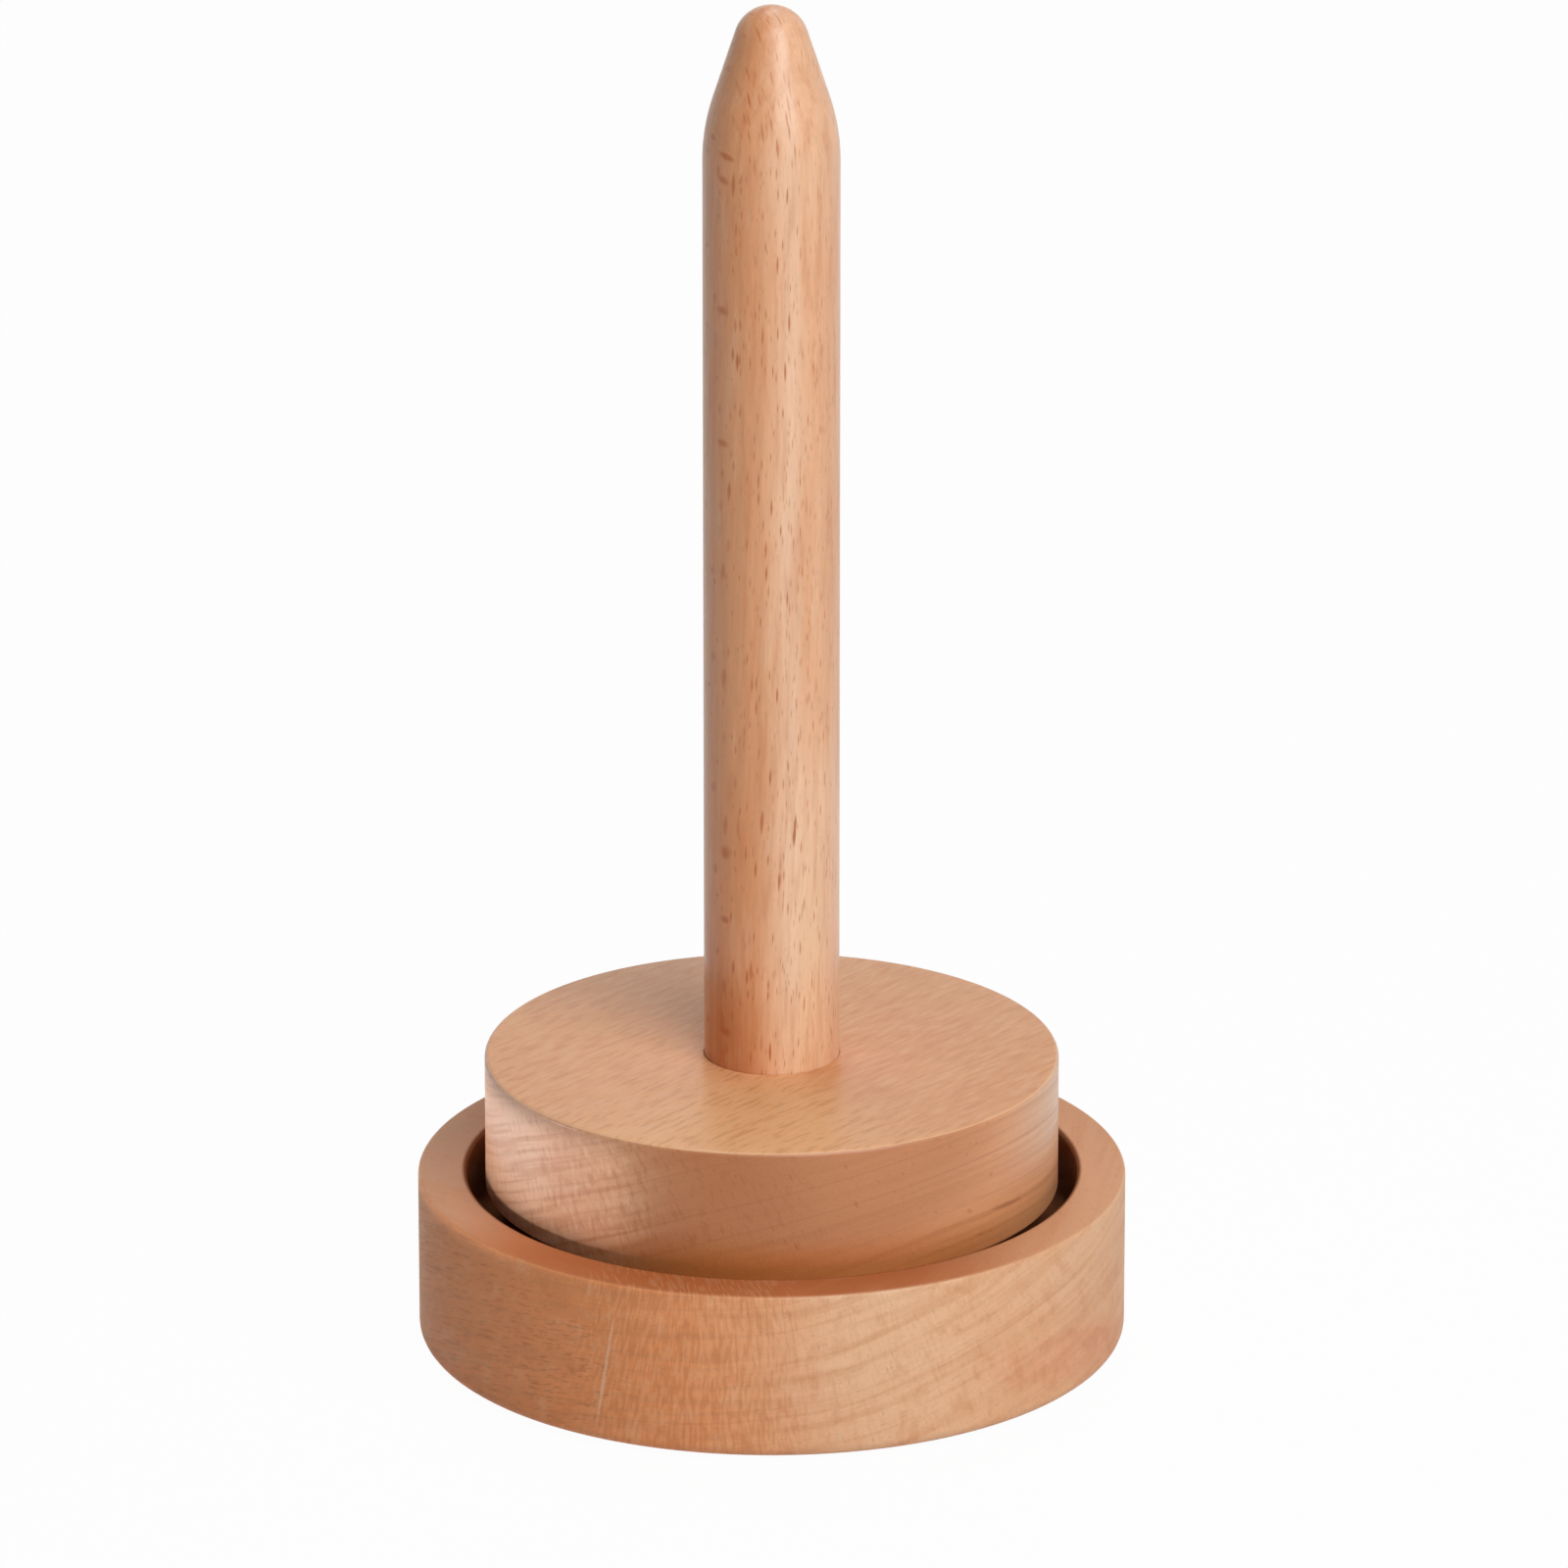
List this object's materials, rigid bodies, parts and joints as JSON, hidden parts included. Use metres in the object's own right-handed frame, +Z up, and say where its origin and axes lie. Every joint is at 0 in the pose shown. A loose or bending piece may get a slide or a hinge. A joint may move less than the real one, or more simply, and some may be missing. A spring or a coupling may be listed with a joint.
{
  "type": "yarn ball holder",
  "caption": "Turned beech yarn ball holder: a tapered upright spindle on a thick disc that spins on a ball bearing inside a round rimmed tray.",
  "frame": {"origin": "on the table, under the middle of the foot pad, on the spin axis", "axes": "+Z up along the spin axis, towards the spindle's tip; -Y towards the picture's camera"},
  "size_m": [0.105, 0.105, 0.205],
  "materials": {
    "beech_tray": "satin",
    "beech_disc": "satin",
    "beech_rod": "satin",
    "foam_pad": "matte",
    "bearing_steel": "ground",
    "ball_steel": "polished",
    "shield_steel": "pressed",
    "zinc_steel": "zinc plated",
    "insert_brass": "turned",
    "cage_nylon": "matte"
  },
  "bodies": {
    "base": {"base_tray": "beech_tray", "anti_slip_pad": "foam_pad", "bearing_outer_ring": "bearing_steel", "bearing_shield_lower": "shield_steel", "bearing_shield_upper": "shield_steel"},
    "turntable": {"turntable_disc": "beech_disc", "spindle_rod": "beech_rod", "bearing_inner_ring": "bearing_steel", "pivot_bolt": "zinc_steel", "head_washer": "zinc_steel", "spacer_washer": "zinc_steel", "pivot_insert": "insert_brass", "rod_insert": "insert_brass", "rod_stud": "zinc_steel"},
    "ball_cage": {"bearing_cage": "cage_nylon", "bearing_ball_1": "ball_steel", "bearing_ball_2": "ball_steel", "bearing_ball_3": "ball_steel", "bearing_ball_4": "ball_steel", "bearing_ball_5": "ball_steel", "bearing_ball_6": "ball_steel", "bearing_ball_7": "ball_steel"}
  },
  "joints": [
    {"name": "turntable_spin", "type": "hinge", "parent": "base", "child": "turntable", "pos_m": [0, 0, 0.012], "axis": [0, 0, 1], "continuous": true},
    {"name": "cage_orbit", "type": "hinge", "parent": "base", "child": "ball_cage", "pos_m": [0, 0, 0.012], "axis": [0, 0, 1], "continuous": true}
  ],
  "couplings": [
    {"joint": "cage_orbit", "follows": "turntable_spin", "ratio": 0.3677}
  ]
}
